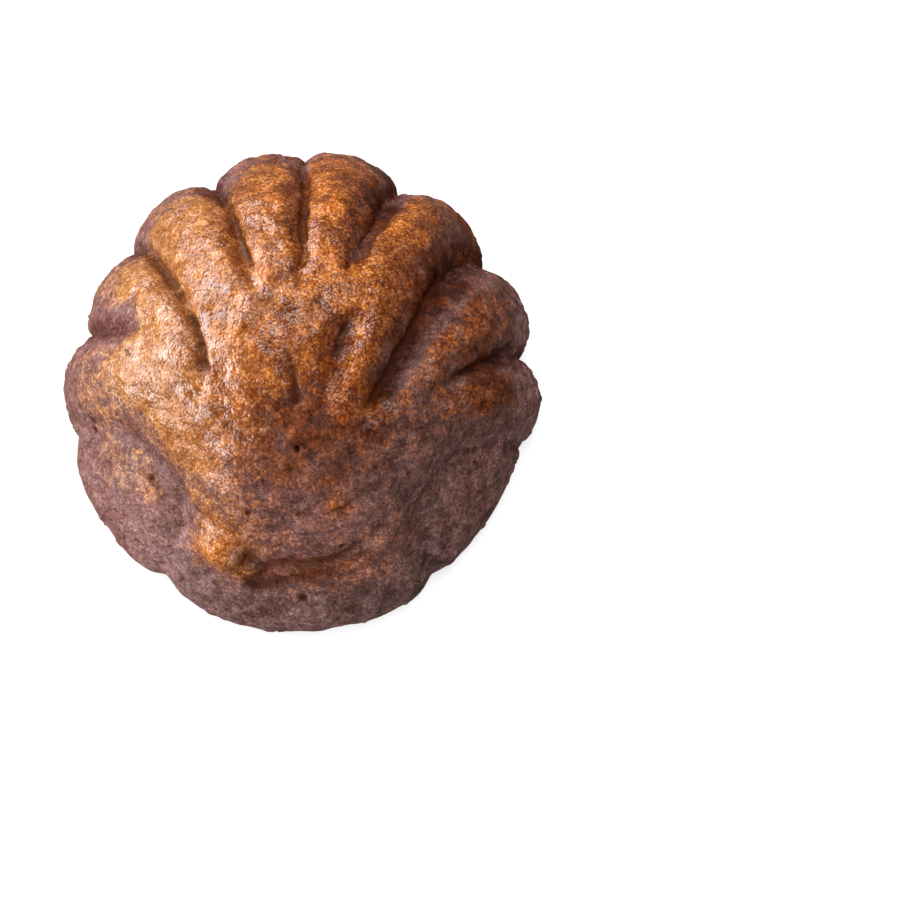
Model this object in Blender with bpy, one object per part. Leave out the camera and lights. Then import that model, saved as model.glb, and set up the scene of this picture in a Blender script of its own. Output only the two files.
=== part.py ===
"""A butter rice cake baked in a scallop-shell mould, lying on its open side with the shell up.

Run with blender --background --python part.py, or from Blender's text editor. Units are metres.

The frame: +Z up out of the shell, +Y towards the fanned edge, -Y towards the hinge, the origin in
the middle of the resting face. A place on the cake is given by its azimuth, in degrees clockwise
from +Y as seen from above, and its elevation above the resting face, both as seen from the shell's
centre, which lies just off the origin towards the fan.
"""

import math

import bmesh
import bpy
import numpy as np
from mathutils import noise

MM = 0.001

CAKE_HEIGHT = 28.0 * MM
SHELL_CENTRE_Y = 0.4 * MM

# The plan, by azimuth: how far the shell's foot reaches, then the reach and the height of the low
# body round it, which makes the two ears and the wall under the hinge
PLAN = (
    (-180, 27.6, 30.9, 15.0),
    (-155, 28.2, 30.8, 15.0),
    (-142, 25.2, 30.4, 16.0),
    (-122, 25.0, 30.4, 16.0),
    (-105, 28.8, 30.0, 16.0),
    (-96, 30.2, 28.5, 15.0),
    (-86, 30.2, 26.0, 13.0),
    (-66, 28.9, 25.0, 12.0),
    (-45, 29.5, 25.0, 12.0),
    (-12, 30.5, 25.0, 12.0),
    (13, 30.6, 25.0, 12.0),
    (40, 30.0, 25.0, 12.0),
    (68, 29.7, 25.0, 12.0),
    (90, 30.3, 26.0, 14.0),
    (97, 30.2, 27.0, 15.0),
    (107, 28.6, 28.2, 16.0),
    (122, 25.0, 28.4, 16.0),
    (142, 25.2, 29.2, 16.0),
    (155, 28.0, 30.6, 15.0),
    (180, 27.6, 30.9, 15.0),
)
NARROWING_LOW_DEG = 24.0
NARROWING_HIGH_DEG = 66.0
LOW_SQUARENESS = 2.3
BODY_BLEND = 2.5 * MM

# The round edge of the flat resting face
EDGE_ROUND = 2.0 * MM

# The grooves, each by the places that it runs through: azimuth, elevation, depth and half width
GROOVES = {
    "middle": ((0.2, -6, 1.7, 2.4), (0.3, 45, 2.2, 2.2), (0, 70, 1.5, 1.3), (-4, 79, 0, 0.9)),
    "left_1": ((-22.8, -6, 2.6, 2.6), (-26.5, 40, 2.7, 2.2), (-33, 62, 1.8, 1.4), (-57, 77, 0, 0.9)),
    "left_2": (
        (-52, -6, 2.3, 2.7),
        (-53, 36, 2.5, 2.4),
        (-68, 55, 2.0, 1.5),
        (-97, 66.5, 1.4, 1.2),
        (-120, 62, 0, 0.9),
    ),
    "left_3": ((-76, -6, 2.9, 2.6), (-81, 38, 2.4, 2.6), (-81, 54, 0, 1.8)),
    "left_ear": (
        (-100.5, -6, 1.1, 2.0),
        (-107, 28, 1.0, 2.6),
        (-125, 38, 1.4, 2.8),
        (-143, 28, 1.3, 2.4),
        (-145, -6, 1.3, 2.0),
    ),
    "right_1": ((26.7, -6, 2.6, 2.6), (27.5, 42, 2.8, 2.2), (30.5, 62, 1.7, 1.3), (35, 71, 0, 0.9)),
    "right_inner": ((60, 71, 0, 1.0), (76, 79, 0.9, 1.3), (142, 79, 0.9, 1.3), (159, 72, 0, 1.0)),
    "right_2": (
        (56, -6, 2.2, 2.6),
        (57, 38, 3.2, 2.7),
        (73, 55.5, 2.8, 2.0),
        (106, 66, 2.0, 1.4),
        (142, 63, 0, 1.0),
    ),
    "right_3": ((80.5, -6, 2.9, 2.6), (87, 30, 2.8, 2.5), (98, 46.5, 1.8, 1.9), (114, 56, 0, 1.4)),
    "right_ear": (
        (103, -6, 1.1, 2.0),
        (109, 20, 1.0, 2.4),
        (125, 36, 1.3, 2.8),
        (145, 27, 1.3, 2.4),
        (147, -6, 1.3, 2.0),
    ),
    "hinge_crease": (
        (-157, 23, 0.4, 1.0),
        (-168, 19.5, 0.9, 1.3),
        (178, 19.5, 1.0, 1.3),
        (157, 24, 0.4, 1.0),
    ),
}
GROOVE_SHARPNESS = 1.6
GROOVE_ROUNDING = 0.4 * MM
GROOVE_STEPS = 32
GROOVE_SMOOTHING = 6

# Round swellings: azimuth, elevation, radius and height
LUMPS = {
    "left_corner": (-155, 30, 2.8, 0.9),
    "right_corner": (155, 29, 3.0, 0.5),
}

# Slow unevenness of the baked dough
WAVE_LENGTH = 12.0 * MM
WAVE_HEIGHT = 0.35 * MM

# The mesh: quads along each edge of the starting cube, and the sphere's polar angle at the rim
CAGE_CUTS = 28
RIM_POLAR_DEG = 125.0

CRUST_COLOUR = (0.36, 0.14, 0.045, 1.0)
CRUST_ROUGHNESS = 0.38


def clear_scene():
    for obj in list(bpy.data.objects):
        bpy.data.objects.remove(obj)


def smooth_step(low, high, value):
    share = np.clip((value - low) / (high - low), 0, 1)
    return share * share * (3 - 2 * share)


def smooth_max(a, b, blend):
    near = np.clip(blend - np.abs(a - b), 0, None) / blend
    return np.maximum(a, b) + near * near * blend / 4


def direction(azimuth, elevation):
    turn, rise = np.radians(azimuth), np.radians(elevation)
    return np.stack([np.sin(turn) * np.cos(rise), np.cos(turn) * np.cos(rise), np.sin(rise)], -1)


def oval_radius(elevation, reach, height, squareness):
    """Distance to a dome with this reach and height, in the direction with this elevation."""
    rise = np.radians(elevation)
    inverse = (np.cos(rise) / reach) ** squareness + (np.sin(rise) / height) ** squareness
    return inverse ** (-1 / squareness)


def plain_radius(azimuth, elevation):
    """Distance from the origin to the cake's smooth outer form, without its grooves."""
    azimuth = (azimuth + 180) % 360 - 180
    places, shell_reach, low_reach, low_height = np.array(PLAN).T
    reach = np.interp(azimuth, places, shell_reach) * MM
    upward = smooth_step(NARROWING_LOW_DEG, NARROWING_HIGH_DEG, elevation)
    reach += (np.maximum(reach, shell_reach[0] * MM) - reach) * upward
    shell = oval_radius(elevation, reach, CAKE_HEIGHT, 2.0)
    low_reach = np.interp(azimuth, places, low_reach) * MM
    low_height = np.interp(azimuth, places, low_height) * MM
    low_body = oval_radius(elevation, low_reach, low_height, LOW_SQUARENESS)
    return smooth_max(shell, low_body, BODY_BLEND)


def plain_point(azimuth, elevation):
    radius = plain_radius(azimuth, np.maximum(elevation, 0))
    return direction(azimuth, elevation) * radius[..., None]


def groove_path(places):
    """Points along a smooth line past these places, with the groove's depth and half width at each."""
    azimuth, elevation, depth, width = np.array(places, float).T
    turns = direction(azimuth, elevation)
    marks = np.append(0, np.linalg.norm(np.diff(turns, axis=0), axis=1).cumsum())
    share = np.linspace(0, marks[-1], GROOVE_STEPS)
    line = np.stack([np.interp(share, marks, axis) for axis in turns.T], -1)
    for _ in range(GROOVE_SMOOTHING):
        line[1:-1] = (line[:-2] + line[2:]) / 2
    line /= np.linalg.norm(line, axis=1, keepdims=True)
    azimuth = np.degrees(np.arctan2(line[:, 0], line[:, 1]))
    elevation = np.degrees(np.arcsin(line[:, 2]))
    depth = np.interp(share, marks, depth) * MM
    width = np.interp(share, marks, width) * MM
    return plain_point(azimuth, elevation), depth, width


def one_groove(points, places):
    """How far one groove cuts in at each of these points of the plain form."""
    path, depth, width = groove_path(places)
    step = np.diff(path, axis=0)
    offset = points[:, None] - path[:-1]
    along = np.clip((offset * step).sum(2) / (step ** 2).sum(1), 0, 1)
    away = np.linalg.norm(offset - along[..., None] * step, axis=2)
    nearest = away.argmin(1)
    mark = nearest + np.take_along_axis(along, nearest[:, None], 1)[:, 0]
    marks = np.arange(GROOVE_STEPS)
    across = np.hypot(away.min(1), GROOVE_ROUNDING) - GROOVE_ROUNDING
    section = np.exp(-((across / np.interp(mark, marks, width)) ** GROOVE_SHARPNESS))
    return np.interp(mark, marks, depth) * section


def groove_depth(points):
    return np.cbrt(sum(one_groove(points, places) ** 3 for places in GROOVES.values()))


def lump_height(points):
    height = np.zeros(len(points))
    for azimuth, elevation, radius, rise in LUMPS.values():
        centre = plain_point(np.float64(azimuth), np.float64(elevation))
        away = np.linalg.norm(points - centre, axis=1)
        height += rise * MM * np.exp(-((away / (radius * MM)) ** 2))
    return height


def wave_height(points):
    return WAVE_HEIGHT * np.array([noise.noise(point / WAVE_LENGTH) for point in points])


def shell_points(azimuth, elevation):
    """Points of the finished upper surface."""
    plain = plain_point(azimuth, elevation)
    relief = lump_height(plain) + wave_height(plain) - groove_depth(plain)
    points = plain + direction(azimuth, elevation) * relief[:, None]
    points[:, 2] = np.maximum(points[:, 2], 0)
    below = np.clip(1 - points[:, 2] / EDGE_ROUND, 0, 1)
    inset = EDGE_ROUND * (1 - np.sqrt(1 - below ** 2))
    out = np.hypot(points[:, 0], points[:, 1])
    points[:, :2] *= (1 - inset / np.maximum(out, EDGE_ROUND))[:, None]
    return points


def cage_points(sphere):
    """Moves the points of a unit sphere to the cake: the top to the shell, the rest to the resting face."""
    polar = np.degrees(np.arccos(np.clip(sphere[:, 2], -1, 1)))
    azimuth = np.degrees(np.arctan2(sphere[:, 0], sphere[:, 1]))
    elevation = 90 * (1 - np.minimum(polar / RIM_POLAR_DEG, 1))
    points = shell_points(azimuth, elevation)
    inward = np.clip((180 - polar) / (180 - RIM_POLAR_DEG), 0, 1)
    points[:, :2] *= inward[:, None]
    points[polar > RIM_POLAR_DEG, 2] = 0
    points[:, 1] += SHELL_CENTRE_Y
    return points


def make_cake(name, cuts):
    """A cube cut into a grid, rounded into a sphere and then shaped."""
    cage = bmesh.new()
    bmesh.ops.create_cube(cage, size=2)
    bmesh.ops.subdivide_edges(cage, edges=cage.edges[:], cuts=cuts - 1, use_grid_fill=True)
    corners = np.array([vertex.co for vertex in cage.verts])
    sphere = np.tan(corners * math.pi / 4)
    sphere /= np.linalg.norm(sphere, axis=1, keepdims=True)
    for vertex, place in zip(cage.verts, cage_points(sphere)):
        vertex.co = place
    bmesh.ops.triangulate(cage, faces=cage.faces[:])
    mesh = bpy.data.meshes.new(name)
    cage.to_mesh(mesh)
    cage.free()
    mesh.shade_smooth()
    return bpy.data.objects.new(name, mesh)


def crust_material():
    material = bpy.data.materials.new("baked_crust")
    material.use_nodes = True
    surface = material.node_tree.nodes["Principled BSDF"]
    surface.inputs["Base Color"].default_value = CRUST_COLOUR
    surface.inputs["Roughness"].default_value = CRUST_ROUGHNESS
    surface.inputs["Metallic"].default_value = 0.0
    return material


def main():
    clear_scene()
    collection = bpy.data.collections.new("Butter rice cake")
    bpy.context.scene.collection.children.link(collection)
    cake = make_cake("butter_rice_cake", CAGE_CUTS)
    cake.data.materials.append(crust_material())
    collection.objects.link(cake)


main()
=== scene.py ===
"""The looks of a butter rice cake that was baked in a scallop-shell mould and lies with the shell up.

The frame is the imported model's: metres, +Z up out of the shell, +Y towards the fanned edge, -Y towards
the hinge. A place on the cake is given by its azimuth, in degrees clockwise from +Y as seen from above,
and its elevation above the resting face, both as seen from the shell's centre. Lengths in tables are in
millimetres.
"""
import math

import bmesh
import bpy
import numpy as np
from mathutils import Matrix, Vector, kdtree, noise


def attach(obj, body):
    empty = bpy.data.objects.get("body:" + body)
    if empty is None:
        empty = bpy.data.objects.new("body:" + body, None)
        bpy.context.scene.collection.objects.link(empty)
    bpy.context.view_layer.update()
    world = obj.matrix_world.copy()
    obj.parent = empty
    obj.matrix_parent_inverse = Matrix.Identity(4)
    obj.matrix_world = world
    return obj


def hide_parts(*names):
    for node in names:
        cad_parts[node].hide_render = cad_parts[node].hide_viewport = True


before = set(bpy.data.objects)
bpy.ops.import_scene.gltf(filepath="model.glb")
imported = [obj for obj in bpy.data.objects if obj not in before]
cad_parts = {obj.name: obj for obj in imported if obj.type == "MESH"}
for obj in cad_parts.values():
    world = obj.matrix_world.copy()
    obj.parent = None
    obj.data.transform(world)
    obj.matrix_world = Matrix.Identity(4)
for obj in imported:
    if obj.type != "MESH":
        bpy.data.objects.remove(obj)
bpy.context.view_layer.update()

MM = 0.001
SEED = 7
SEED_STEP = 17.3

# The form, close to the solid's: the plan by azimuth (reach of the shell's foot, then reach and height of
# the low body round it) and the grooves (azimuth, elevation, depth, half width)
CAKE_HEIGHT = 28.0 * MM
SHELL_CENTRE_Y = 0.4 * MM
PLAN = (
    (-180, 27.6, 30.9, 15.0),
    (-155, 28.2, 30.8, 15.0),
    (-142, 25.2, 30.4, 16.0),
    (-122, 25.0, 30.4, 16.0),
    (-105, 28.8, 30.0, 16.0),
    (-96, 30.2, 28.5, 15.0),
    (-86, 30.2, 26.0, 13.0),
    (-66, 28.9, 25.0, 12.0),
    (-45, 29.5, 25.0, 12.0),
    (-12, 30.5, 25.0, 12.0),
    (13, 30.6, 25.0, 12.0),
    (40, 30.0, 25.0, 12.0),
    (68, 29.7, 25.0, 12.0),
    (90, 30.3, 26.0, 14.0),
    (97, 30.2, 27.0, 15.0),
    (107, 28.6, 28.2, 16.0),
    (122, 25.0, 28.4, 16.0),
    (142, 25.2, 29.2, 16.0),
    (155, 28.0, 30.6, 15.0),
    (180, 27.6, 30.9, 15.0),
)
PLAN_ROUNDING = ((-9, 0.12), (-4.5, 0.22), (0, 0.32), (4.5, 0.22), (9, 0.12))
NARROWING_LOW_DEG = 24.0
NARROWING_HIGH_DEG = 66.0
SHELL_SQUARENESS = 2.0
LOW_SQUARENESS = 2.3
BODY_BLEND = 2.5 * MM
EDGE_ROUND = 2.0 * MM
GROOVES = (
    ((0.2, -6, 1.7, 2.4), (0.3, 45, 1.9, 1.6), (0, 70, 1.3, 0.95), (-4, 79, 0, 0.9)),
    ((-22.8, -6, 2.6, 2.6), (-26.5, 40, 2.3, 1.7), (-33, 62, 1.5, 1.0), (-57, 77, 0, 0.9)),
    (
        (-52, -6, 2.3, 2.7),
        (-53, 36, 2.3, 1.9),
        (-68, 55, 1.8, 1.15),
        (-97, 66.5, 1.2, 1.0),
        (-120, 62, 0, 0.9),
    ),
    ((-76, -6, 2.9, 2.6), (-81, 38, 2.4, 2.6), (-81, 54, 0, 1.8)),
    (
        (-100.5, -6, 1.1, 2.0),
        (-107, 28, 1.0, 2.6),
        (-125, 38, 1.4, 2.8),
        (-143, 28, 1.3, 2.4),
        (-145, -6, 1.3, 2.0),
    ),
    ((26.7, -6, 2.7, 2.7), (27.5, 42, 3.0, 2.1), (30.5, 62, 1.9, 1.2), (35, 71, 0, 0.9)),
    (
        (60, 71, 0, 1.2),
        (76, 77.5, 1.2, 1.5),
        (100, 80.5, 1.6, 1.8),
        (142, 79, 1.6, 1.8),
        (156, 75, 1.0, 1.5),
        (166, 69, 0, 1.2),
    ),
    (
        (56, -6, 2.2, 2.6),
        (57, 38, 3.8, 3.5),
        (73, 55.5, 3.3, 2.8),
        (97, 64.6, 2.7, 2.2),
        (120, 66.6, 2.4, 1.8),
        (138, 65, 1.4, 1.3),
        (150, 62, 0, 1.0),
    ),
    ((80.5, -6, 2.9, 2.6), (87, 30, 2.8, 2.5), (98, 46.5, 1.8, 1.9), (114, 56, 0, 1.4)),
    (
        (103, -6, 1.1, 2.0),
        (109, 20, 1.0, 2.4),
        (125, 36, 1.3, 2.8),
        (145, 27, 1.3, 2.4),
        (147, -6, 1.3, 2.0),
    ),
    ((-157, 23, 0.5, 1.0), (-168, 19.5, 0.7, 1.2), (178, 19.5, 0.6, 1.1), (157, 24, 0.3, 1.0)),
)
GROOVE_SHARPNESS = 1.15
GROOVE_ROUNDING = 0.06 * MM
# How many half widths to each side of its line a groove is worked out
GROOVE_REACH = 4
# The points along each line, and how often they are smoothed
GROOVE_STEPS = 32
GROOVE_SMOOTHING = 6
# The lumps beside the hinge, then softer swellings, and dents where the rise is below 0: azimuth,
# elevation, radius and rise
LUMPS = ((-155, 27.5, 2.5, 1.4), (155, 29, 3.0, 0.5))
SWELLINGS = (
    (-151, 26.0, 2.0, 0.4),
    (-160, 27.5, 2.2, 0.9),
    (-165, 22.5, 1.6, 0.6),
    (-167, 29.0, 1.8, -0.7),
    (-171, 24.5, 1.8, -0.5),
    (-98, 76.5, 3.0, 0.25),
    (98, 75.5, 2.2, 0.35),
    (78, 71.0, 2.2, 0.25),
    (-126, 70.8, 3.2, 0.2),
    (-141, 63.2, 3.2, 0.2),
    (-149, 54.3, 3.2, 0.3),
    (-154, 44.0, 3.2, 0.3),
    (-162, 76.5, 4.5, -0.4),
    (-178, 66.5, 4.5, -0.35),
    (154, 63.8, 4.5, -0.3),
)
WAVE_LENGTH = 12.0 * MM
WAVE_HEIGHT = 0.35 * MM
# The random sway of the grooves' lines: wave length, reach and first seed
SWAYS = ((3.5, 0.55, 1), (1.6, 0.25, 4))

# Narrow creases in the dough: azimuth, elevation, depth and half width
CREASES = (
    ((0.5, 24, 0.3, 0.36), (0.8, 46, 0.5, 0.36), (0.5, 62, 0.55, 0.36), (-2, 73, 0, 0.32)),
    ((-25, 30, 0.2, 0.36), (-29, 56, 0.5, 0.36), (-34, 65, 0.5, 0.36), (-38, 70, 0, 0.32)),
    ((-55, 36, 0.2, 0.36), (-64, 51, 0.6, 0.36), (-70, 55, 0.3, 0.36)),
    ((-75, 59, 0.2, 0.34), (-84, 63, 0.6, 0.36), (-93, 64.5, 0.4, 0.36)),
    ((-95, 64.5, 0.3, 0.34), (-104, 65, 0.6, 0.36), (-112, 65, 0.1, 0.32)),
    ((30, 34, 0.3, 0.4), (31.5, 47, 0.5, 0.4), (32.5, 58, 0.5, 0.36), (34, 66, 0.3, 0.32)),
    (
        (60, 43, 0.4, 0.5),
        (70, 54.5, 0.7, 0.5),
        (84, 61, 0.7, 0.45),
        (106, 66.5, 0.7, 0.45),
        (130, 66.4, 0.6, 0.45),
        (142, 64.3, 0, 0.4),
    ),
    ((87, 26, 0.3, 0.45), (92, 40, 0.5, 0.45), (99, 47, 0.4, 0.4), (110, 54, 0, 0.36)),
    ((59, 74, 0.1, 0.34), (77, 79, 0.25, 0.36), (113, 80.6, 0.2, 0.36), (143, 78.6, 0, 0.32)),
    ((11, 82, 0.1, 0.55), (22, 84.8, 0.4, 0.55), (43, 87.6, 0, 0.55)),
    ((-146, 84.5, 0.1, 0.55), (-169, 79.3, 0.4, 0.55), (-173, 73.5, 0.7, 0.55), (-174, 72, 0, 0.5)),
    ((-160, 22.4, 0.2, 0.65), (-163, 21.2, 0.5, 0.75), (-167, 20.4, 0.2, 0.65)),
    ((-165, 32, 0.1, 0.55), (-164, 28.9, 0.5, 0.65), (-162.5, 25.8, 0.2, 0.65)),
    ((-166, 19.2, 0.2, 0.55), (-169, 22.2, 0.5, 0.65), (-172, 26, 0.3, 0.55), (-178, 31, 0, 0.55)),
    ((-167, 18.5, 0.3, 0.65), (-173, 19, 0.5, 0.65), (178, 22.5, 0.4, 0.65), (168, 25.8, 0, 0.55)),
    ((-165, 25, 0, 0.6), (-174, 27.5, 0.5, 0.7), (176, 29, 0.45, 0.7), (166, 30.5, 0, 0.6)),
    ((-172, 24, 0, 0.5), (-179, 24.6, 0.35, 0.6), (172, 25.2, 0, 0.5)),
    ((170, 27.2, 0, 0.5), (163, 28.2, 0.35, 0.6), (156, 29.5, 0, 0.5)),
    ((-170, 20.8, 0, 0.35), (179, 22.4, 0.4, 0.4), (170, 23.6, 0, 0.35)),
    ((-177, 26.4, 0, 0.35), (172, 28.4, 0.4, 0.4), (163, 31.5, 0, 0.35)),
    ((-164, 19.3, 0, 0.4), (-168, 17.9, 0.4, 0.5), (-173, 17.6, 0, 0.4)),
    ((-172, 28.8, 0, 0.3), (-176, 30.2, 0.35, 0.4), (179, 31.6, 0, 0.3)),
    ((-176, 22.8, 0, 0.4), (179, 20.6, 0.5, 0.5), (172, 20, 0, 0.4)),
    ((-170, 60.3, 0, 0.55), (-173, 57.4, 0.35, 0.6), (-178, 54.5, 0, 0.55)),
    ((172, 44.4, 0, 0.55), (167, 45, 0.5, 0.65), (162, 46.2, 0, 0.55)),
    ((-37, 73.7, 0, 0.55), (-24, 75.2, 0.25, 0.55), (-9, 76.8, 0, 0.55)),
    ((150, 24, 0, 0.65), (138, 33, 0.4, 0.75), (126, 40, 0, 0.65)),
    ((-128, 38, 0, 0.65), (-137, 33, 0.3, 0.65), (-142, 27, 0, 0.65)),
)
# Narrow raised folds, given in the same way with their heights
FOLDS = (
    ((-129, 57.2, 0, 0.7), (-131, 60.7, 0.55, 0.9), (-133, 64.2, 0, 0.7)),
    ((-130, 51, 0, 0.6), (-131, 53, 0.4, 0.8), (-133, 55, 0, 0.6)),
    ((-168, 60.5, 0, 0.5), (-172, 58, 0.4, 0.6), (-177, 55, 0, 0.5)),
    ((173, 45.6, 0, 0.5), (167, 46.6, 0.75, 0.55), (162, 47.6, 0, 0.5)),
    ((10, 80, 0, 0.6), (16, 82.8, 0.3, 0.7), (34, 87, 0, 0.6)),
    ((-167, 29.5, 0, 0.8), (-176, 32.4, 0.4, 1.0), (175, 33.7, 0.4, 1.0), (164, 35, 0, 0.8)),
    ((-172, 21.8, 0, 0.7), (178, 22.2, 0.3, 0.8), (168, 22.6, 0, 0.7)),
    ((-58, 72, 0, 0.8), (-52, 74.5, 0.3, 0.9), (-40, 77, 0, 0.8)),
    ((-34, 78, 0, 0.8), (-28, 81, 0.3, 0.9), (-15, 84, 0, 0.8)),
)
# Creases and folds have most of the grooves' sway
CREASE_SWAY = 0.8
CREASE_SHARPNESS = 1.5
FOLD_SHARPNESS = 2.0
CREASE_ROUNDING = 0.1 * MM

# Small open pores: azimuth, elevation, radius and depth
PORES = (
    (-103, 20, 0.35, 0.5),
    (-105, 18, 0.35, 0.5),
    (-127, 28, 0.35, 0.6),
    (-177, 61.6, 0.3, 0.8),
    (-148, 29.7, 0.3, 0.5),
    (-150, 30.6, 0.28, 0.4),
    (-162, 43, 0.35, 0.5),
    (-180, 15.8, 0.45, 0.6),
    (33, 67.4, 0.6, 0.6),
    (93, 34.6, 0.7, 0.4),
    (67, 45.2, 0.7, 0.5),
    (116, 26, 0.5, 0.35),
    (117.5, 28, 0.45, 0.3),
    (140, 45, 0.35, 0.25),
    (150, 52, 0.35, 0.3),
)
# More pores are strewn, with these radii, and with these depths in radii
STREWN_PORES = 70
LOWEST_PORE_DEG = 4
STREWN_PORE_RADIUS = (0.18, 0.34)
STREWN_PORE_DEPTH = (0.6, 1.5)
# The raggedness of their edges (strength, wave length, seed), the steepness of their sides, and the
# shares of golden crust at which they begin to close and are closed
PORE_RAGGEDNESS = ((0.7, 0.7, 8),)
PORE_SHARPNESS = 3
PORES_CLOSE = (0.55, 0.9)

# The strewn golden specks: the smallest radius, what the largest has more, and how rare large ones are
STREWN_SPECKS = 1700
LOWEST_SPECK_DEG = 3
SPECK_RADIUS = 0.20
SPECK_GROWTH = 0.75
SPECK_DRAW = (0.25, 1.0)
SPECK_RARITY = 2.2
SPECK_RAGGEDNESS = ((0.45, 0.9, 9),)
SPECK_EDGE = (1.1, 0.65)
SPECK_RISE = 0.16

# The crust's unevenness: wave length, height on the dark crust, how much more on the golden, and seed
UNEVENNESS = (
    (5.0, 0.24, 0, 21),
    (2.6, 0.22, 0, 22),
    (1.5, 0.04, 0.08, 25),
    (0.85, 0.02, 0.01, 24),
)
# and its grains, in the same way
GRAIN = (0.95, 0.04, 0.12, 23)
# Short wrinkles round a point near the hinge: their sizes across the ribs, along them and upwards, their
# height, and how far from that point they begin and are whole
WRINKLE_CENTRE_Y = -16.0
WRINKLE_ARC = 24.0
WRINKLES_OUT = (1.5, 4.2, 6.0, 0.10, 6, 14)
WRINKLES_ACROSS = (3.0, 0.85, 1.2, 0.04, 14, 22)
# The elevations between which the first kind begins and is whole
CROWN = (30, 55)
# The share of all this that the flat back has
BACK_RELIEF = 0.6

# Patches where the crust is more golden than round them: azimuth, elevation, radius and how much
GOLDEN_PATCHES = (
    (-106, 20, 3.4, 0.26),
    (-116, 24, 3.6, 0.26),
    (-125, 26, 3.0, 0.26),
    (-131, 25, 1.5, 0.40),
    (-118, 18, 4.0, 0.12),
    (-128, 62, 4.0, -0.12),
    (-78, 38, 3.0, -1.00),
    (-172, 50, 7.0, -0.09),
    (165, 46, 8.0, -0.11),
    (76, 38, 3.4, 0.32),
    (88, 50, 3.0, 0.15),
    (101, 38, 3.2, 0.08),
    (105, 50, 2.5, 0.12),
    (180, 68, 5.0, -0.12),
    (-157, 29, 3.0, 0.60),
    (-150, 24, 2.8, 0.40),
    (-165, 22, 1.8, 0.30),
    (-148, 36, 2.6, 0.25),
    (-151, 48, 3.4, 0.20),
    (-163, 40, 3.0, 0.10),
    (-90, 44, 2.0, -0.45),
    (-176, 24, 3.5, 0.06),
    (174, 27, 4.0, 0.10),
    (37, 20, 3.0, 0.30),
    (167, 46, 1.5, 0.35),
)

# Patches where the crust is darker, partly baked darker and partly painted shade, mostly in the valleys
# and on the lobes of the shaded +X side; those below 0 take darkness away on the +X rims: azimuth,
# elevation, radius and how much
DARK_BAKE_AND_SHADE_PATCHES = (
    (-160, 81, 6.5, 0.38),
    (-38, 55, 6.0, 0.24),
    (-178, 60, 7.0, 0.50),
    (150, 68, 6.0, 0.45),
    (-137, 61, 5.0, 0.45),
    (62, 46, 4.0, 0.70),
    (122, 66, 3.0, 0.45),
    (80, 62, 4.0, 0.50),
    (101, 38, 5.5, 0.55),
    (29, 42, 3.0, 0.45),
    (148, 82.5, 3.0, 0.35),
    (98, 34, 3.0, 0.30),
    (74, 10, 5.0, -0.45),
    (95, 12, 4.0, -0.30),
    (47, 14, 5.5, 0.40),
    (76, 36, 6.0, 0.28),
)

# Painted sheen: patches where the dark crust is paler and cooler along the rims; and one where the -X
# side's painted light on the gold is weaker
PAINTED_SHEEN_PATCHES = (
    (78, 12, 5.0, 0.90),
    (98, 14, 4.5, 0.50),
    (-141, 9, 6.0, 0.75),
    (-86, 6, 4.0, 0.30),
)
PAINTED_LIT_PATCHES = ((-157, 28, 3.0, -0.25),)

# How far up the golden crust begins and is whole, by azimuth
GOLDEN_EDGE = (
    (-180, 14, 80),
    (-158, 14, 74),
    (-143, 30, 52),
    (-128, 36, 46),
    (-113, 34, 46),
    (-98, 20, 38),
    (-83, 14, 36),
    (-68, 12, 33),
    (-53, 12, 33),
    (-38, 17, 40),
    (-23, 22, 43),
    (-8, 15, 32),
    (7, 14, 30),
    (22, 16, 34),
    (37, 12, 30),
    (52, 14, 42),
    (67, 16, 50),
    (82, 30, 60),
    (97, 26, 66),
    (112, 38, 70),
    (127, 46, 70),
    (142, 46, 64),
    (157, 16, 72),
    (172, 14, 78),
    (180, 14, 80),
)
# How much is golden where it begins, and over how many degrees of elevation it begins and gets whole
FIRST_GOLDEN = 0.34
FIRST_EDGE = (-8, 6)
WHOLE_EDGE = (-12, 6)
# The edge's raggedness along azimuth and elevation: degrees, wave length and seed
EDGE_TURNS = ((9, 6.0, 11),)
EDGE_RISES = ((7, 7.0, 12), (3, 2.5, 13))
# How much of it is lost in low grooves, by elevation and by depth,
LOW_LOSS = 0.45
LOW_SIDE = (30, 56)
LOW_GROOVE = (0.5, 1.8)
# in the grooves of the shaded side, where the plum is painted shade, by azimuth and by depth,
SHADED_LOSS = 0.70
SHADED_SIDE = ((8, 30), (110, 140))
SHADED_GROOVE = (0.5, 1.7)
# and on the ribs' sides that are turned to +X, away from the lamps, where the plum is painted shade, by
# azimuth
TURNED_SHADE_LOSS = 0.40
TURNED_SHADE_SIDE = (-40, -10)

# Painted shade darkens the ribs on those sides, which face away from the lamps: by the slope to +X, less
# most of the plain form's own slope, and by azimuth
TURNED_SHADE = 0.55
TURNED_SLOPE = (0.05, 0.42)
TURNED_FORM_SHARE = 0.75
TURNED_RIBS = ((-112, -96), (104, 120))
DARK_RAGGEDNESS = ((0.9, 3.0, 14),)

# The depths at which a groove, a crease and a pore have their full painted shade
FULL_HOLLOW = 2.2 * MM
FULL_CREASE = 0.45 * MM
FULL_PORE = 0.3 * MM
# The golden crust is painted lighter at the -X side, as painted light from the lamps there, and the dark
# crust is cooler low at the hinge end
PAINTED_LIT_SIDE_X = (5, -27)
COOL_ELEVATION = (24, 13)
COOL_AZIMUTH = (128, 150)

# The crust's patterns: size, detail and roughness of each noise, and the distance between grains
FINE = (0.30 * MM, 2.0, 0.6)
MOTTLE = (0.9 * MM, 2.0, 0.6)
BLOTCH = (2.2 * MM, 3.0, 0.6)
BROAD = (6.0 * MM, 2.0, 0.5)
GRAIN_SIZE = 0.34 * MM
BEAD_SIZE = 0.75 * MM
DRY_SIZE = 3.5 * MM
OILY_SIZE = 2.4 * MM
FILM_SIZE = 2.0 * MM
RELIEF_DEPTH = 0.09 * MM
DULL_ROUGHNESS = 0.50

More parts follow.
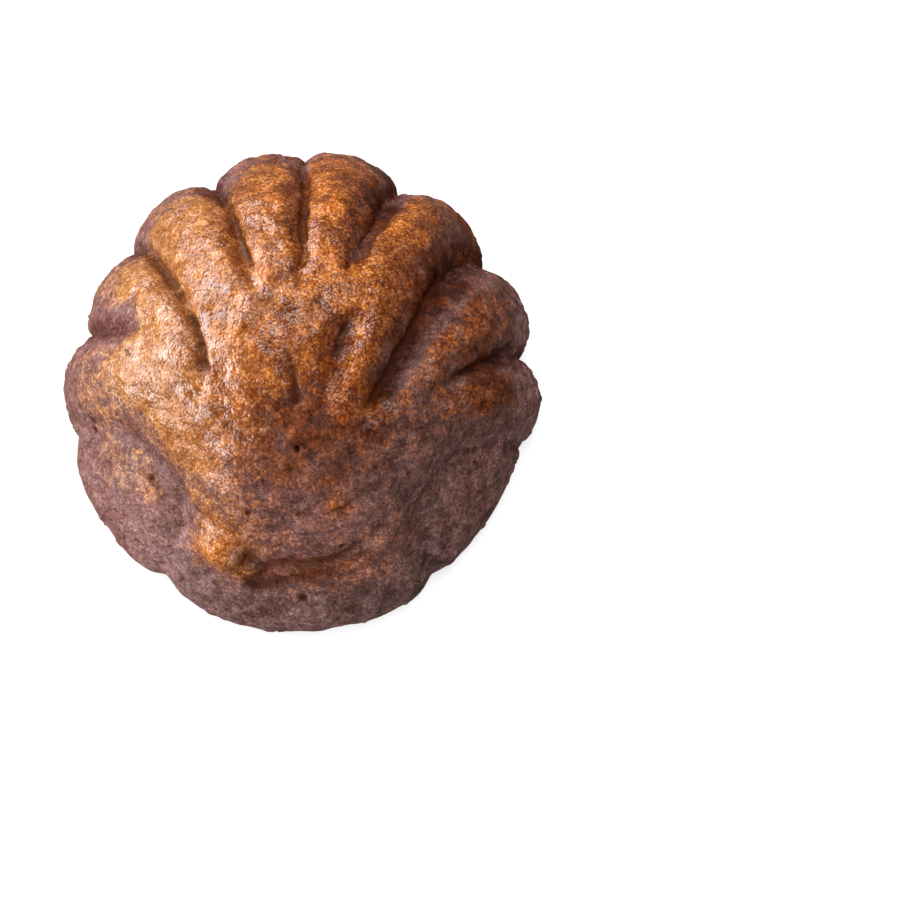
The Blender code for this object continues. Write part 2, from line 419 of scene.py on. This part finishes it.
# The colours, each by the tone of its grains
GOLD = (
    (0.40, (0.150, 0.032, 0.003)),
    (0.56, (0.275, 0.069, 0.007)),
    (0.70, (0.388, 0.124, 0.022)),
    (0.86, (0.555, 0.250, 0.080)),
)
# A lighter gold for the -X side: painted light from the lamps there
PAINTED_LIT_GOLD = (
    (0.40, (0.215, 0.078, 0.019)),
    (0.56, (0.308, 0.124, 0.033)),
    (0.70, (0.385, 0.178, 0.060)),
    (0.86, (0.470, 0.265, 0.128)),
)
AMBER = (
    (0.42, (0.100, 0.020, 0.003)),
    (0.60, (0.215, 0.050, 0.006)),
    (0.84, (0.410, 0.125, 0.024)),
)
PEACH = (
    (0.40, (0.150, 0.054, 0.032)),
    (0.60, (0.262, 0.110, 0.068)),
    (0.86, (0.430, 0.215, 0.145)),
)
PLUM = (
    (0.44, (0.070, 0.027, 0.022)),
    (0.62, (0.134, 0.059, 0.048)),
    (0.73, (0.186, 0.087, 0.071)),
    (0.88, (0.275, 0.148, 0.123)),
)
BROWN = ((0.48, (0.066, 0.016, 0.006)), (0.80, (0.215, 0.066, 0.022)))
# Painted shade in the creases and pores
CREASE_SHADE_COLOUR = (0.06, 0.016, 0.007)
# Factors for the colours above, the first two by blotches on the +X side and on the -X side with the
# painted light
STRONG_BLOTCHES = ((0.38, (0.50, 0.40, 0.36)), (0.60, (1.38, 1.42, 1.48)))
WEAK_BLOTCHES = ((0.36, (0.74, 0.66, 0.62)), (0.62, (1.14, 1.15, 1.16)))
COOL_TINT = (0.86, 0.95, 0.98)
# Painted sheen along the rims
PAINTED_SHEEN_TINT = (1.50, 1.60, 1.75)
# Darker bake and painted shade, by the dark map
DARK_TINT = (0.60, 0.47, 0.40)
# Painted shade deep in the grooves
GROOVE_SHADE_TINT = (0.46, 0.34, 0.32)
# The mix node's sockets for colours
MIX_COLOUR_INPUTS = (6, 7)
MIX_COLOUR_OUTPUT = 2

# A white floor, brightened by its own glow
FLOOR_SIZE = 6.0
FLOOR_GREY = 0.45
FLOOR_GLOW = 0.70
# The lights stand round a point above the resting face: azimuth, elevation, size, power, colour, and
# whether the crust mirrors them
AIM_HEIGHT = 12 * MM
LIGHT_DISTANCE = 0.50
LIGHTS = (
    ("key", -90, 14, (0.54, 0.22), 3.0, (0.965, 0.98, 1.03), True),
    ("side", -42, 20, (0.34, 0.26), 1.75, (0.965, 0.98, 1.03), True),
    ("top", 30, 68, (0.45, 0.45), 1.65, (1.0, 0.985, 0.98), False),
    ("glint", 12, 64, (0.20, 0.20), 0.62, (1.0, 0.97, 0.97), True),
    ("fill_left", -128, 12, (0.30, 0.20), 1.5, (0.98, 0.97, 1.02), False),
    ("sheen", -128, 22, (0.18, 0.14), 0.28, (1.0, 0.97, 0.98), True),
    ("back", -15, 14, (0.30, 0.20), 1.1, (0.98, 0.98, 1.03), False),
    ("low_left", -152, 7, (0.26, 0.14), 0.35, (1.0, 0.97, 0.98), False),
    ("fill_right", 150, 12, (0.30, 0.20), 0.50, (1.0, 0.96, 0.94), True),
)
WORLD_COLOUR = (1.0, 0.96, 0.95)
WORLD_STRENGTH = 0.17

# The camera: degrees above the floor, metres away, millimetres, and where the cake's middle appears in
# the picture, in pixels right of the picture's middle and above it
CAMERA_ELEVATION = 75
CAMERA_DISTANCE = 0.305
LENS = 100
SENSOR_WIDTH = 36
CAMERA_CLIP = (0.01, 10)
PICTURE_PIXELS = 900
CAKE_SHIFT_RIGHT = -146.5
CAKE_SHIFT_UP = 82.5

# The mesh: quads along each edge of the starting cube, and the sphere's polar angle at the rim
CAGE_CUTS = 128
RIM_POLAR_DEG = 128.0


def smooth_step(low, high, value):
    share = np.clip((value - low) / (high - low), 0, 1)
    return share * share * (3 - 2 * share)


def smooth_max(a, b, blend):
    """The larger of the two, rounded where they are nearly the same."""
    near = np.clip(blend - np.abs(a - b), 0, None) / blend
    return np.maximum(a, b) + near * near * blend / 4


def direction(azimuth, elevation):
    turn, rise = np.radians(azimuth), np.radians(elevation)
    return np.stack([np.sin(turn) * np.cos(rise), np.cos(turn) * np.cos(rise), np.sin(rise)], -1)


def oval_radius(elevation, reach, height, squareness):
    rise = np.radians(elevation)
    inverse = (np.cos(rise) / reach) ** squareness + (np.sin(rise) / height) ** squareness
    return inverse ** (-1 / squareness)


def plan_value(azimuth, column):
    """One column of the plan by azimuth, its corners rounded, in metres."""
    table = np.array(PLAN)
    total = 0
    for turn, share in PLAN_ROUNDING:
        turned = (azimuth + turn + 180) % 360 - 180
        total += share * np.interp(turned, table[:, 0], table[:, column])
    return total * MM


def plain_radius(azimuth, elevation):
    """How far out the shell and the low body round it reach, without their grooves."""
    reach = plan_value(azimuth, 1)
    upward = smooth_step(NARROWING_LOW_DEG, NARROWING_HIGH_DEG, elevation)
    reach += (np.maximum(reach, PLAN[0][1] * MM) - reach) * upward
    shell = oval_radius(elevation, reach, CAKE_HEIGHT, SHELL_SQUARENESS)
    low_body = oval_radius(elevation, plan_value(azimuth, 2), plan_value(azimuth, 3), LOW_SQUARENESS)
    return smooth_max(shell, low_body, BODY_BLEND)


def plain_point(azimuth, elevation):
    azimuth, elevation = np.asarray(azimuth, float), np.asarray(elevation, float)
    radius = plain_radius(azimuth, np.maximum(elevation, 0))
    return direction(azimuth, elevation) * radius[..., None]


def line_path(places):
    """Points along a smooth line past these places, with the line's depth and half width at each."""
    azimuth, elevation, depth, width = np.array(places, float).T
    turns = direction(azimuth, elevation)
    marks = np.append(0, np.linalg.norm(np.diff(turns, axis=0), axis=1).cumsum())
    share = np.linspace(0, marks[-1], GROOVE_STEPS)
    line = np.stack([np.interp(share, marks, axis) for axis in turns.T], -1)
    for _ in range(GROOVE_SMOOTHING):
        line[1:-1] = (line[:-2] + line[2:]) / 2
    line /= np.linalg.norm(line, axis=1, keepdims=True)
    azimuth = np.degrees(np.arctan2(line[:, 0], line[:, 1]))
    elevation = np.degrees(np.arcsin(line[:, 2]))
    depth = np.interp(share, marks, depth) * MM
    width = np.interp(share, marks, width) * MM
    return plain_point(azimuth, elevation), depth, width


def one_line(points, places, sharpness=GROOVE_SHARPNESS, rounding=GROOVE_ROUNDING):
    """How far one groove, crease or fold reaches at each of these points of the plain form."""
    path, depth, width = line_path(places)
    result = np.zeros(len(points))
    reach = GROOVE_REACH * width.max()
    low, high = path.min(0) - reach, path.max(0) + reach
    near = ((points > low) & (points < high)).all(1)
    points = points[near]
    step = np.diff(path, axis=0)
    offset = points[:, None] - path[:-1]
    along = np.clip((offset * step).sum(2) / (step ** 2).sum(1), 0, 1)
    away = np.linalg.norm(offset - along[..., None] * step, axis=2)
    nearest = away.argmin(1)
    mark = nearest + np.take_along_axis(along, nearest[:, None], 1)[:, 0]
    marks = np.arange(GROOVE_STEPS)
    across = np.hypot(away.min(1), rounding) - rounding
    section = np.exp(-((across / np.interp(mark, marks, width)) ** sharpness))
    result[near] = np.interp(mark, marks, depth) * section
    return result


def groove_depth(points):
    """The depth of all the grooves, little more than the deepest one's where they meet."""
    return np.cbrt(sum(one_line(points, places) ** 3 for places in GROOVES))


def patch_cover(points, patches):
    """The sum of round soft patches, each with its azimuth, elevation, radius and strength."""
    cover = np.zeros(len(points))
    for azimuth, elevation, radius, strength in patches:
        away = np.linalg.norm(points - plain_point(azimuth, elevation), axis=1)
        cover += strength * np.exp(-((away / (radius * MM)) ** 2))
    return cover


def noise_at(points, size, seed=0):
    places = (points / size + SEED_STEP * seed).tolist()
    return np.array([noise.noise(place) for place in places])


def cell_at(points, size, seed=0):
    """Distance to the nearest of a random set of points about this far apart, in units of it."""
    places = (points / size + SEED_STEP * seed).tolist()
    return np.array([noise.voronoi(place)[0][0] for place in places])


def waves_at(points, waves):
    """The sum of noises, each with its strength, wave length and seed."""
    return sum(strength * noise_at(points, length * MM, seed) for strength, length, seed in waves)


def random_sway(points):
    """How far off its place each point looks up the lines in the dough."""
    sway = np.zeros_like(points)
    for length, reach, seed in SWAYS:
        parts = [noise_at(points, length * MM, seed + axis) for axis in range(3)]
        sway += np.stack(parts, -1) * reach * MM
    return sway


def shell_points(azimuth, elevation):
    """Points of the grooved form, those of the plain form, and each one's groove depth and sway."""
    plain = plain_point(azimuth, elevation)
    sway = random_sway(plain)
    groove = groove_depth(plain + sway)
    wave = WAVE_HEIGHT * noise_at(plain, WAVE_LENGTH)
    relief = patch_cover(plain, LUMPS + SWELLINGS) * MM + wave - groove
    points = plain + direction(azimuth, elevation) * relief[:, None]
    points[:, 2] = np.maximum(points[:, 2], 0)
    below = np.clip(1 - points[:, 2] / EDGE_ROUND, 0, 1)
    inset = EDGE_ROUND * (1 - np.sqrt(1 - below ** 2))
    out = np.hypot(points[:, 0], points[:, 1])
    points[:, :2] *= (1 - inset / np.maximum(out, EDGE_ROUND))[:, None]
    return points, plain, groove, sway


def strewn_places(count, lowest, seed):
    """Even random azimuths and elevations over the dome above the lowest elevation."""
    random = np.random.default_rng(seed)
    azimuth = random.uniform(-180, 180, count)
    elevation = np.degrees(np.arcsin(random.uniform(np.sin(np.radians(lowest)), 1, count)))
    return azimuth, elevation, random


def nearest_mark(points, marks):
    """For each point the distance to the nearest mark and that mark's number."""
    tree = kdtree.KDTree(len(marks))
    for number, mark in enumerate(marks):
        tree.insert(mark, number)
    tree.balance()
    found = [tree.find(point)[1:] for point in points.tolist()]
    number, away = np.array(found).T
    return away, number.astype(int)


def pore_depth(plain):
    """The depth of the placed and the strewn pores."""
    azimuth, elevation, random = strewn_places(STREWN_PORES, LOWEST_PORE_DEG, SEED)
    radius = random.uniform(*STREWN_PORE_RADIUS, STREWN_PORES)
    deep = radius * random.uniform(*STREWN_PORE_DEPTH, STREWN_PORES)
    own = np.array(PORES).T
    azimuth, elevation = np.append(azimuth, own[0]), np.append(elevation, own[1])
    radius, deep = np.append(radius, own[2]) * MM, np.append(deep, own[3]) * MM
    away, number = nearest_mark(plain, plain_point(azimuth, elevation))
    away = away * (1 + waves_at(plain, PORE_RAGGEDNESS))
    return deep[number] * np.exp(-((away / radius[number]) ** PORE_SHARPNESS))


def speck_cover(plain):
    """Where the strewn golden specks are, 0 to 1."""
    azimuth, elevation, random = strewn_places(STREWN_SPECKS, LOWEST_SPECK_DEG, SEED + 1)
    growth = random.uniform(*SPECK_DRAW, STREWN_SPECKS) ** SPECK_RARITY
    radius = (SPECK_RADIUS + SPECK_GROWTH * growth) * MM
    away, number = nearest_mark(plain, plain_point(azimuth, elevation))
    return smooth_step(*SPECK_EDGE, away / radius[number] + waves_at(plain, SPECK_RAGGEDNESS))


def between(azimuth, start, end):
    """1 between two azimuths and 0 outside, with each of the two given as a soft edge."""
    return smooth_step(*start, azimuth) * (1 - smooth_step(*end, azimuth))


def golden_cover(azimuth, elevation, groove, plain, turned):
    """How golden the crust is, 0 to 1; less golden in the shaded grooves and on the ribs' +X sides as
    painted shade.
    """
    places, begins, whole = np.array(GOLDEN_EDGE, float).T
    azimuth = (azimuth + waves_at(plain, EDGE_TURNS) + 180) % 360 - 180
    elevation = elevation + waves_at(plain, EDGE_RISES)
    begins, whole = np.interp(azimuth, places, begins), np.interp(azimuth, places, whole)
    cover = FIRST_GOLDEN * smooth_step(*FIRST_EDGE, elevation - begins)
    cover += (1 - FIRST_GOLDEN) * smooth_step(*WHOLE_EDGE, elevation - whole)
    low = 1 - smooth_step(*LOW_SIDE, elevation)
    cover -= LOW_LOSS * low * smooth_step(*LOW_GROOVE, groove / MM)
    shaded = between(azimuth, *SHADED_SIDE)
    cover -= SHADED_LOSS * shaded * smooth_step(*SHADED_GROOVE, groove / MM)
    cover -= TURNED_SHADE_LOSS * turned * smooth_step(*TURNED_SHADE_SIDE, azimuth)
    return np.clip(cover + patch_cover(plain, GOLDEN_PATCHES), 0, 1)


def bake_and_shade_darkness(plain, turned):
    """How much darker the crust is painted, 0 to 1: baked darker in patches, and painted shade on the
    ribs' sides turned to +X and in the shaded valleys.
    """
    cover = TURNED_SHADE * turned + patch_cover(plain, DARK_BAKE_AND_SHADE_PATCHES)
    return np.clip(cover * (1 + waves_at(plain, DARK_RAGGEDNESS)), 0, 1)


def wrinkles(plain, across, along, upwards, height, begin, whole):
    """Noise that is stretched round a point near the hinge, in millimetres."""
    arm = plain[:, :2] / MM - (0, WRINKLE_CENTRE_Y)
    away = np.hypot(*arm.T)
    turn = np.arctan2(arm[:, 0], arm[:, 1])
    places = np.stack([turn * WRINKLE_ARC / across, away / along, plain[:, 2] / MM / upwards], -1)
    return height * noise_at(places, 1) * smooth_step(begin, whole, away)


def fine_relief(plain, elevation, golden, speck):
    """The crust's small ups and downs along the surface's own direction, in millimetres."""
    relief = sum(
        (height + more * golden) * noise_at(plain, length * MM, seed)
        for length, height, more, seed in UNEVENNESS
    )
    relief += wrinkles(plain, *WRINKLES_OUT) * smooth_step(*CROWN, elevation)
    relief += wrinkles(plain, *WRINKLES_ACROSS) * golden
    length, height, more, seed = GRAIN
    relief += (height + more * golden) * (0.5 - cell_at(plain, length * MM, seed))
    return relief + SPECK_RISE * speck * (1 - golden)


def crust_shape(azimuth, elevation, plain, normals, groove, sway):
    """How far the crust stands out from the grooved form, and the maps for its colour."""
    # The ribs' sides turned to +X face away from the lamps and get painted shade
    turned = normals[:, 0] - TURNED_FORM_SHARE * direction(azimuth, elevation)[:, 0]
    turned = smooth_step(*TURNED_SLOPE, turned) * between(azimuth, *TURNED_RIBS)
    golden = golden_cover(azimuth, elevation, groove, plain, turned)
    dark = bake_and_shade_darkness(plain, turned)
    speck = speck_cover(plain)
    swayed = plain + sway * CREASE_SWAY
    crease = sum(one_line(swayed, places, CREASE_SHARPNESS, CREASE_ROUNDING) for places in CREASES)
    fold = sum(one_line(swayed, places, FOLD_SHARPNESS, CREASE_ROUNDING) for places in FOLDS)
    pore = pore_depth(plain) * (1 - smooth_step(*PORES_CLOSE, golden))
    height = fine_relief(plain, elevation, golden, speck) * MM + fold - crease - pore
    maps = {
        "golden": golden,
        "speck": speck,
        "hollow": groove / FULL_HOLLOW,
        "crease": crease / FULL_CREASE + pore / FULL_PORE,
        "painted_sheen": patch_cover(plain, PAINTED_SHEEN_PATCHES),
        "dark": dark,
        "cool": smooth_step(*COOL_ELEVATION, elevation) * smooth_step(*COOL_AZIMUTH, np.abs(azimuth)),
    }
    return height, maps


def cube_ball():
    """A cube with a grid on each side, and the direction of each of its points on a ball."""
    cage = bmesh.new()
    bmesh.ops.create_cube(cage, size=2)
    bmesh.ops.subdivide_edges(cage, edges=cage.edges[:], cuts=CAGE_CUTS - 1, use_grid_fill=True)
    corners = np.array([vertex.co for vertex in cage.verts])
    ball = np.tan(corners * math.pi / 4)
    ball /= np.linalg.norm(ball, axis=1, keepdims=True)
    return cage, ball


def put_points(mesh, points):
    mesh.vertices.foreach_set("co", points.ravel())
    mesh.update()


def point_normals(mesh):
    normals = np.empty(len(mesh.vertices) * 3)
    mesh.vertex_normals.foreach_get("vector", normals)
    return normals.reshape(-1, 3)


def make_cake(name):
    cage, ball = cube_ball()
    polar = np.degrees(np.arccos(np.clip(ball[:, 2], -1, 1)))
    azimuth = np.degrees(np.arctan2(ball[:, 0], ball[:, 1]))
    elevation = 90 * (1 - np.minimum(polar / RIM_POLAR_DEG, 1))
    points, plain, groove, sway = shell_points(azimuth, elevation)
    # Beyond the rim the points close the flat back
    underside = polar > RIM_POLAR_DEG
    inward = np.clip((180 - polar) / (180 - RIM_POLAR_DEG), 0, 1)
    points[:, :2] *= inward[:, None]
    plain[underside] = points[underside]
    groove[underside] = 0
    points[underside, 2] = 0
    points[:, 1] += SHELL_CENTRE_Y
    mesh = bpy.data.meshes.new(name)
    cage.to_mesh(mesh)
    cage.free()
    put_points(mesh, points)
    normals = point_normals(mesh)
    height, maps = crust_shape(azimuth, elevation, plain, normals, groove, sway)
    # The flat back has only shallow marks, which go inwards
    height = np.where(underside, -np.abs(height) * BACK_RELIEF, height)
    points += normals * height[:, None]
    points[:, 2] = np.maximum(points[:, 2], 0)
    put_points(mesh, points)
    # The -X side's gold is painted lighter, as light from the lamps there
    maps["painted_lit_side"] = smooth_step(*PAINTED_LIT_SIDE_X, points[:, 0] / MM) + patch_cover(plain, PAINTED_LIT_PATCHES)
    for title, values in maps.items():
        layer = mesh.attributes.new(title, "FLOAT", "POINT")
        layer.data.foreach_set("value", np.clip(values, 0, 1).astype(np.float32))
    mesh.shade_smooth()
    mesh.update()
    cake = bpy.data.objects.new(name, mesh)
    bpy.context.scene.collection.objects.link(cake)
    return cake


class Shader:
    """Short forms for the nodes of one material."""

    def __init__(self, name):
        self.material = bpy.data.materials.new(name)
        self.material.use_nodes = True
        self.tree = self.material.node_tree
        self.surface = self.tree.nodes["Principled BSDF"]
        self.place = self.node("ShaderNodeTexCoord").outputs["Object"]

    def node(self, kind, **settings):
        made = self.tree.nodes.new(kind)
        for key, value in settings.items():
            setattr(made, key, value)
        return made

    def put(self, socket, value):
        if isinstance(value, bpy.types.NodeSocket):
            self.tree.links.new(value, socket)
        else:
            socket.default_value = value

    def noise(self, size, detail=2.0, roughness=0.5):
        made = self.node("ShaderNodeTexNoise")
        made.inputs["Scale"].default_value = 1 / size
        made.inputs["Detail"].default_value = detail
        made.inputs["Roughness"].default_value = roughness
        self.put(made.inputs["Vector"], self.place)
        return made.outputs["Fac"]

    def cells(self, size):
        """Grains about this far apart: the distance from each one's middle, and a number of its own."""
        made = self.node("ShaderNodeTexVoronoi")
        made.inputs["Scale"].default_value = 1 / size
        self.put(made.inputs["Vector"], self.place)
        split = self.node("ShaderNodeSeparateColor")
        self.put(split.inputs[0], made.outputs["Color"])
        return made.outputs["Distance"], split.outputs[0]

    def map(self, title):
        return self.node("ShaderNodeAttribute", attribute_name=title).outputs["Fac"]

    def math(self, operation, a, b):
        made = self.node("ShaderNodeMath", operation=operation)
        self.put(made.inputs[0], a)
        self.put(made.inputs[1], b)
        return made.outputs[0]

    def times(self, a, b):
        return self.math("MULTIPLY", a, b)

    def add(self, *parts):
        """The sum of these values, each times its share."""
        total = None
        for value, share in parts:
            scaled = self.times(value, share)
            total = scaled if total is None else self.math("ADD", total, scaled)
        return total

    def spread(self, value, low, high, to_low=0.0, to_high=1.0):
        """A smooth step of the value from low to high, as a share between the two results."""
        made = self.node("ShaderNodeMapRange", interpolation_type="SMOOTHSTEP")
        self.put(made.inputs["Value"], value)
        ends = {"From Min": low, "From Max": high, "To Min": to_low, "To Max": to_high}
        for title, number in ends.items():
            made.inputs[title].default_value = number
        return made.outputs["Result"]

    def ramp(self, value, stops):
        made = self.node("ShaderNodeValToRGB")
        steps = made.color_ramp.elements
        while len(steps) < len(stops):
            steps.new(0.5)
        for step, (place, colour) in zip(steps, stops):
            step.position = place
            step.color = (*colour, 1)
        self.put(made.inputs["Fac"], value)
        return made.outputs["Color"]

    def mix(self, share, a, b, blend="MIX"):
        made = self.node("ShaderNodeMix", data_type="RGBA", blend_type=blend)
        self.put(made.inputs["Factor"], share)
        for number, value in zip(MIX_COLOUR_INPUTS, (a, b)):
            value = value if isinstance(value, bpy.types.NodeSocket) else (*value, 1)
            self.put(made.inputs[number], value)
        return made.outputs[MIX_COLOUR_OUTPUT]

    def tint(self, share, colour, factors):
        return self.mix(share, colour, factors, "MULTIPLY")

    def bump(self, height, distance):
        made = self.node("ShaderNodeBump")
        made.inputs["Distance"].default_value = distance
        self.put(made.inputs["Height"], height)
        return made.outputs["Normal"]


class Crust(Shader):
    """The baked crust, mixed from the mesh's maps and from patterns of noise and grains."""

    def __init__(self, name):
        super().__init__(name)
        self.golden, self.dark, self.painted_lit_side = self.map("golden"), self.map("dark"), self.map("painted_lit_side")
        self.hollow, self.crease = self.map("hollow"), self.map("crease")
        self.fine, self.mottle = self.noise(*FINE), self.noise(*MOTTLE)
        self.blotch, self.broad = self.noise(*BLOTCH), self.noise(*BROAD)
        self.grain, self.grain_own = self.cells(GRAIN_SIZE)
        self.bead, self.bead_own = self.cells(BEAD_SIZE)
        self.deep = self.spread(self.hollow, 0.5, 1.0)
        # Specks show only where some of the crust is golden
        self.specks = self.times(self.map("speck"), self.spread(self.golden, 0.08, 0.4))
        self.cover = self.golden_share()
        # Only the golden crust is glossy
        self.gloss = self.times(self.cover, self.spread(self.golden, 0.22, 0.66))

    def golden_share(self):
        """Where the crust is golden: grain by grain, ragged at its edge, and where specks lie."""
        ragged = self.add(
            (self.golden, 1.3),
            (self.blotch, 0.7),
            (self.mottle, 0.3),
            (self.grain_own, 0.35),
            (self.bead_own, 0.25),
            (self.fine, 0.1),
        )
        whole = self.spread(ragged, 1.26, 1.62)
        return self.math("MAXIMUM", whole, self.times(self.specks, 0.95))

    def golden_colour(self):
        """Amber where little of the crust is golden, painted lighter at the -X side as light from the
        lamps there, pinker in lone specks.
        """
        tone = self.add((self.mottle, 0.45), (self.fine, 0.8), (self.grain_own, 0.26), (self.grain, -0.35))
        amber, gold = self.ramp(tone, AMBER), self.ramp(tone, GOLD)
        painted_lit_gold, peach = self.ramp(tone, PAINTED_LIT_GOLD), self.ramp(tone, PEACH)
        colour = self.mix(self.spread(self.golden, 0.45, 1.0), amber, gold)
        colour = self.mix(self.painted_lit_side, colour, painted_lit_gold)
        alone = self.times(self.specks, self.spread(self.golden, 0.35, 0.75, 0.85, 0.0))
        return self.mix(alone, colour, peach)

    def dark_colour(self):
        """Plum, browner in patches, beside the golden crust and under the darker bake and painted shade,
        cooler low at the hinge end, and paler along the rims as painted sheen.
        """
        tone = self.add((self.mottle, 0.6), (self.fine, 0.75), (self.grain_own, 0.15), (self.grain, -0.18))
        warm = self.add((self.broad, 0.6), (self.blotch, 0.6), (self.golden, 0.5), (self.dark, 0.6))
        plum, brown = self.ramp(tone, PLUM), self.ramp(tone, BROWN)
        colour = self.mix(self.spread(warm, 0.76, 1.12), plum, brown)
        colour = self.tint(self.map("cool"), colour, COOL_TINT)
        # Painted sheen along the rims: the dark crust paler and cooler
        return self.tint(self.map("painted_sheen"), colour, PAINTED_SHEEN_TINT)

    def colour(self):
        colour = self.mix(self.cover, self.dark_colour(), self.golden_colour())
        patchy = self.add((self.blotch, 0.7), (self.broad, 0.3))
        strong, weak = self.ramp(patchy, STRONG_BLOTCHES), self.ramp(patchy, WEAK_BLOTCHES)
        # Weaker blotches where the -X side's gold is painted lighter
        colour = self.tint(1.0, colour, self.mix(self.painted_lit_side, strong, weak))
        # Darker bake in patches, and painted shade on the ribs' +X sides and in the shaded valleys
        colour = self.tint(self.dark, colour, DARK_TINT)
        # Painted shade deep in the grooves
        colour = self.tint(self.times(self.deep, 0.7), colour, GROOVE_SHADE_TINT)
        # Painted shade in the creases and pores
        return self.mix(self.times(self.crease, 0.8), colour, CREASE_SHADE_COLOUR)

    def roughness(self):
        dry = self.spread(self.noise(DRY_SIZE), 0.48, 0.62)
        rough = self.add(
            (self.grain_own, 0.06),
            (self.gloss, -0.41),
            (self.deep, 0.2),
            (self.crease, 0.2),
            (dry, 0.06),
        )
        return self.math("ADD", rough, DULL_ROUGHNESS)

    def shine(self):
        """How strongly the crust shines: in oily patches, and hardly in grooves and creases."""
        dull = self.math("MAXIMUM", self.spread(self.hollow, 0.4, 1.0), self.crease)
        open_crust = self.spread(dull, 0.0, 0.8, 0.95, 0.15)
        wet = self.times(open_crust, self.spread(self.gloss, 0, 1, 0.4, 1.0))
        return self.times(wet, self.spread(self.noise(OILY_SIZE), 0.40, 0.60, 0.45, 1.0))

    def relief(self):
        """Grains finer than the mesh's own, weaker on the dark crust and under a smooth film."""
        height = self.add((self.mottle, 0.6), (self.fine, 0.7), (self.grain, -0.9), (self.bead, -0.6))
        height = self.times(height, self.spread(self.cover, 0, 1, 0.7, 1.0))
        film = self.spread(self.noise(FILM_SIZE), 0.42, 0.56, 0.6, 1.1)
        return self.bump(self.times(height, film), RELIEF_DEPTH)


def crust_material():
    crust = Crust("baked_crust")
    finish = {
        "Base Color": crust.colour(),
        "Roughness": crust.roughness(),
        "Specular IOR Level": crust.shine(),
        "Normal": crust.relief(),
    }
    for title, value in finish.items():
        crust.put(crust.surface.inputs[title], value)
    return crust.material


def plain_floor():
    bpy.ops.mesh.primitive_plane_add(size=FLOOR_SIZE, location=(0, 0, 0))
    floor = bpy.context.object
    floor.name = "floor"
    shader = Shader("floor_white")
    finish = {
        "Base Color": (FLOOR_GREY, FLOOR_GREY, FLOOR_GREY, 1),
        "Roughness": 1.0,
        "Specular IOR Level": 0.0,
        "Emission Color": (1, 1, 1, 1),
        "Emission Strength": FLOOR_GLOW,
    }
    for title, value in finish.items():
        shader.put(shader.surface.inputs[title], value)
    floor.data.materials.append(shader.material)
    floor.visible_diffuse = False
    floor.visible_glossy = False


def area_light(name, azimuth, elevation, size, power, colour, mirrored):
    lamp = bpy.data.lights.new(name, "AREA")
    lamp.shape = "RECTANGLE"
    lamp.size, lamp.size_y = size
    lamp.energy = power
    lamp.color = colour
    light = bpy.data.objects.new(name, lamp)
    toward = Vector(direction(azimuth, elevation))
    light.location = Vector((0, 0, AIM_HEIGHT)) + toward * LIGHT_DISTANCE
    light.rotation_euler = toward.to_track_quat("Z", "Y").to_euler()
    light.visible_glossy = mirrored
    bpy.context.scene.collection.objects.link(light)


def studio():
    plain_floor()
    for light in LIGHTS:
        area_light(*light)
    world = bpy.data.worlds.new("studio")
    world.use_nodes = True
    background = world.node_tree.nodes["Background"]
    background.inputs["Color"].default_value = (*WORLD_COLOUR, 1)
    background.inputs["Strength"].default_value = WORLD_STRENGTH
    bpy.context.scene.world = world
    bpy.context.scene.view_settings.view_transform = "Standard"
    bpy.context.scene.view_settings.look = "None"


def photo_camera():
    elevation = math.radians(CAMERA_ELEVATION)
    back = Vector((0, -math.cos(elevation), math.sin(elevation)))
    right = Vector((1, 0, 0))
    aim = Matrix((right, back.cross(right), back)).transposed()
    # The camera is turned so that the cake appears where the shift says
    focal_pixels = PICTURE_PIXELS * LENS / SENSOR_WIDTH
    yaw = math.atan(CAKE_SHIFT_RIGHT / focal_pixels)
    pitch = -math.atan(CAKE_SHIFT_UP / focal_pixels * math.cos(yaw))
    aim = aim @ Matrix.Rotation(yaw, 3, "Y") @ Matrix.Rotation(pitch, 3, "X")
    data = bpy.data.cameras.new("camera")
    data.lens, data.sensor_width = LENS, SENSOR_WIDTH
    data.clip_start, data.clip_end = CAMERA_CLIP
    camera = bpy.data.objects.new("camera", data)
    place = Vector((0, SHELL_CENTRE_Y, AIM_HEIGHT)) + back * CAMERA_DISTANCE
    camera.matrix_world = Matrix.Translation(place) @ aim.to_4x4()
    bpy.context.scene.collection.objects.link(camera)
    bpy.context.scene.camera = camera


cake = make_cake("rice_cake")
cake.data.materials.append(crust_material())
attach(cake, "root")
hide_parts("butter_rice_cake")
studio()
photo_camera()
